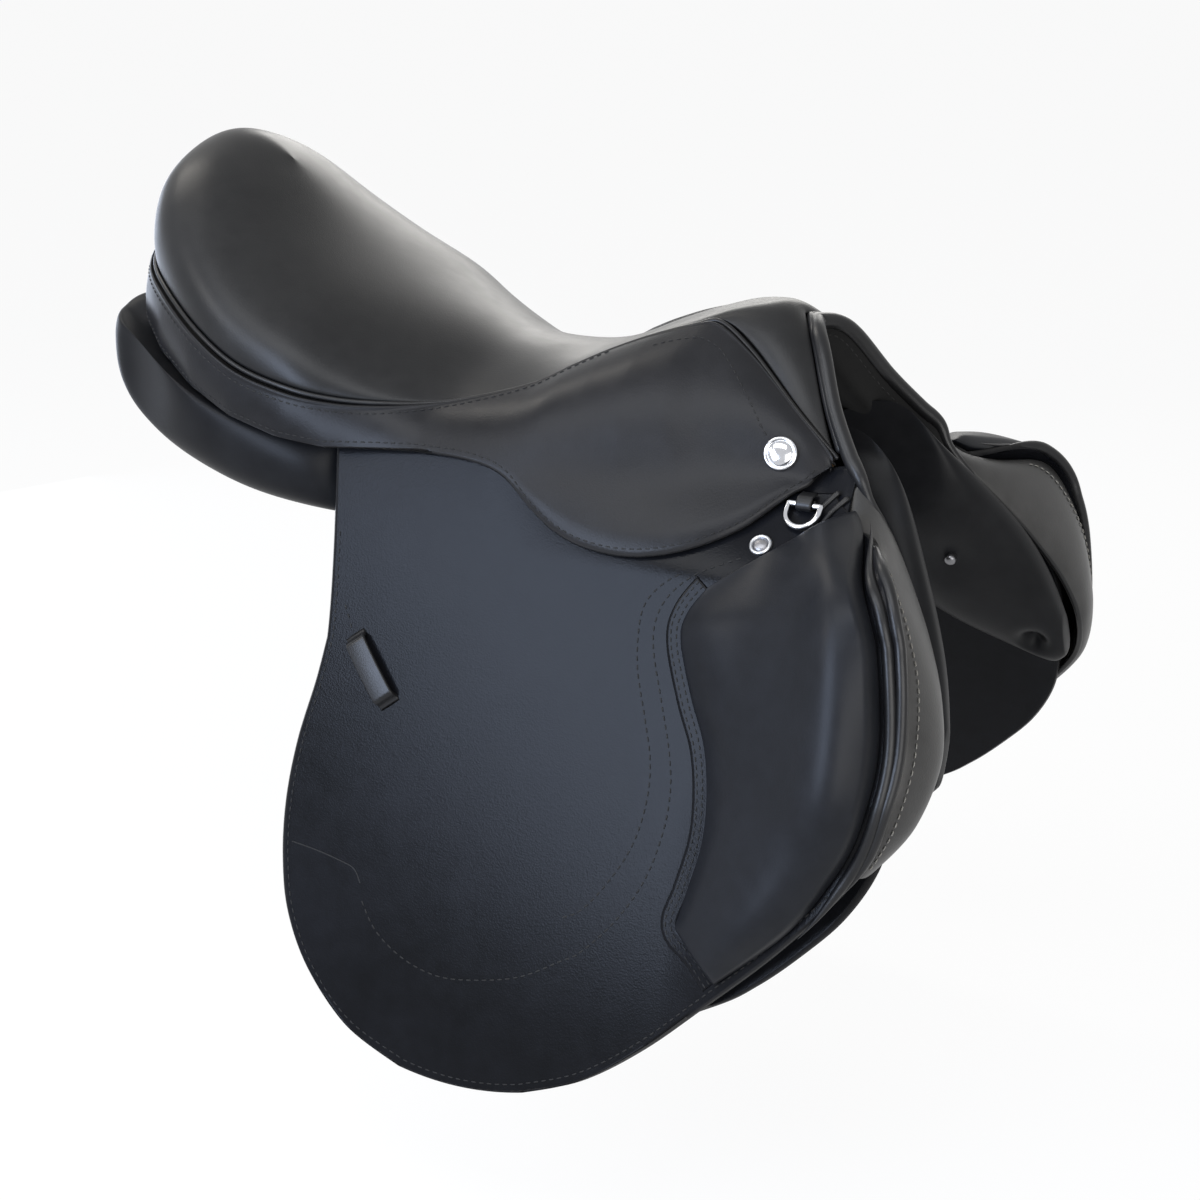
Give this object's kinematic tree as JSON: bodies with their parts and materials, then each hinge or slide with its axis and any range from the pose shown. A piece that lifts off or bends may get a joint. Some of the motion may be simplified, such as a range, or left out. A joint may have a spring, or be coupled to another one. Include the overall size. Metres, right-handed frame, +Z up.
{
  "type": "jumping saddle",
  "caption": "Black leather jumping saddle with a deep seat, forward flaps with outside knee pads, lifting skirts, girth straps and stuffed panels",
  "frame": {"origin": "on the middle plane under the lowest point of the seat, level with the inner edges of the panels that bear on the back", "axes": "+X forward to the pommel, +Y to the horse's left, +Z up"},
  "size_m": [0.5602, 0.4244, 0.4916],
  "materials": {
    "seat_leather": "satin, fine grain",
    "flap_leather": "satin, fine grain",
    "trim_leather": "satin",
    "foam": "matt foam",
    "tree": "laminated beech",
    "steel": "brushed",
    "bright_metal": "polished",
    "webbing": "woven"
  },
  "bodies": {
    "saddle": {"seat_cover": "seat_leather", "seat_foam": "foam", "seat_welt": "trim_leather", "pommel_bead": "trim_leather", "head_lining": "trim_leather", "tree_frame": "tree", "tree_head": "tree", "head_plate": "steel", "gullet_plate": "steel", "spring_left": "steel", "spring_right": "steel", "seat_webbing": "webbing", "tree_rivets": "steel", "girth_web_left": "webbing", "girth_web_right": "webbing", "stirrup_bar_left": "steel", "stirrup_bar_right": "steel", "skirt_band_left": "trim_leather", "skirt_band_right": "trim_leather", "skirt_nail_left": "bright_metal", "skirt_nail_right": "bright_metal", "flap_upper_left": "flap_leather", "flap_upper_right": "flap_leather", "flap_nail_left": "bright_metal", "flap_nail_right": "bright_metal", "dee_chape_left": "trim_leather", "dee_chape_right": "trim_leather", "sweat_flap_left": "trim_leather", "sweat_flap_right": "trim_leather", "front_roll_left": "trim_leather", "front_roll_right": "trim_leather", "panel_left": "trim_leather", "panel_right": "trim_leather", "panel_nail_left": "bright_metal", "panel_nail_right": "bright_metal"},
    "skirt_left": {"skirt_left": "trim_leather"},
    "flap_left": {"flap_left": "flap_leather", "knee_pad_left": "flap_leather", "keeper_left": "trim_leather"},
    "dee_left": {"dee_ring_left": "bright_metal"},
    "catch_left": {"bar_catch_left": "steel"},
    "billet_left_front": {"billet_left_front": "trim_leather"},
    "billet_left_middle": {"billet_left_middle": "trim_leather"},
    "billet_left_rear": {"billet_left_rear": "trim_leather"},
    "skirt_right": {"skirt_right": "trim_leather"},
    "flap_right": {"flap_right": "flap_leather", "knee_pad_right": "flap_leather", "keeper_right": "trim_leather"},
    "dee_right": {"dee_ring_right": "bright_metal"},
    "catch_right": {"bar_catch_right": "steel"},
    "billet_right_front": {"billet_right_front": "trim_leather"},
    "billet_right_middle": {"billet_right_middle": "trim_leather"},
    "billet_right_rear": {"billet_right_rear": "trim_leather"}
  },
  "joints": [
    {"name": "skirt_left_lift", "type": "hinge", "parent": "saddle", "child": "skirt_left", "pos_m": [0.167, 0.0726, 0.0175], "axis": [0.9738, -0.2234, 0.043], "range_deg": [0, 60]},
    {"name": "flap_left_lift", "type": "hinge", "parent": "saddle", "child": "flap_left", "pos_m": [-0.101, 0.15097, -0.092], "axis": [0.9484, -0.1417, 0.2836], "range_deg": [0, 60]},
    {"name": "dee_left_swing", "type": "hinge", "parent": "saddle", "child": "dee_left", "pos_m": [0.16661, 0.08424, 0.0062], "axis": [0.9996, -0.019, -0.0208], "range_deg": [0, 75]},
    {"name": "catch_left_turn", "type": "hinge", "parent": "saddle", "child": "catch_left", "pos_m": [0.04122, 0.0723, 0.0267], "axis": [0.0624, 0.9981, 0], "range_deg": [0, 80]},
    {"name": "billet_left_front_swing", "type": "hinge", "parent": "saddle", "child": "billet_left_front", "pos_m": [0.036, 0.09969, -0.024], "axis": [-0.0474, 0.9476, 0.3159], "range_deg": [-10, 10]},
    {"name": "billet_left_middle_swing", "type": "hinge", "parent": "saddle", "child": "billet_left_middle", "pos_m": [0.005, 0.10236, -0.024], "axis": [-0.0474, 0.9476, 0.3159], "range_deg": [-10, 10]},
    {"name": "billet_left_rear_swing", "type": "hinge", "parent": "saddle", "child": "billet_left_rear", "pos_m": [-0.026, 0.10503, -0.024], "axis": [-0.0474, 0.9476, 0.3159], "range_deg": [-10, 10]},
    {"name": "skirt_right_lift", "type": "hinge", "parent": "saddle", "child": "skirt_right", "pos_m": [0.167, -0.0726, 0.0175], "axis": [-0.9738, -0.2234, -0.043], "range_deg": [0, 60]},
    {"name": "flap_right_lift", "type": "hinge", "parent": "saddle", "child": "flap_right", "pos_m": [-0.101, -0.15097, -0.092], "axis": [-0.9484, -0.1417, -0.2836], "range_deg": [0, 60]},
    {"name": "dee_right_swing", "type": "hinge", "parent": "saddle", "child": "dee_right", "pos_m": [0.16661, -0.08424, 0.0062], "axis": [-0.9996, -0.019, 0.0208], "range_deg": [0, 75]},
    {"name": "catch_right_turn", "type": "hinge", "parent": "saddle", "child": "catch_right", "pos_m": [0.04122, -0.0723, 0.0267], "axis": [-0.0624, 0.9981, 0], "range_deg": [0, 80]},
    {"name": "billet_right_front_swing", "type": "hinge", "parent": "saddle", "child": "billet_right_front", "pos_m": [0.036, -0.09969, -0.024], "axis": [0.0474, 0.9476, -0.3159], "range_deg": [-10, 10]},
    {"name": "billet_right_middle_swing", "type": "hinge", "parent": "saddle", "child": "billet_right_middle", "pos_m": [0.005, -0.10236, -0.024], "axis": [0.0474, 0.9476, -0.3159], "range_deg": [-10, 10]},
    {"name": "billet_right_rear_swing", "type": "hinge", "parent": "saddle", "child": "billet_right_rear", "pos_m": [-0.026, -0.10503, -0.024], "axis": [0.0474, 0.9476, -0.3159], "range_deg": [-10, 10]}
  ]
}
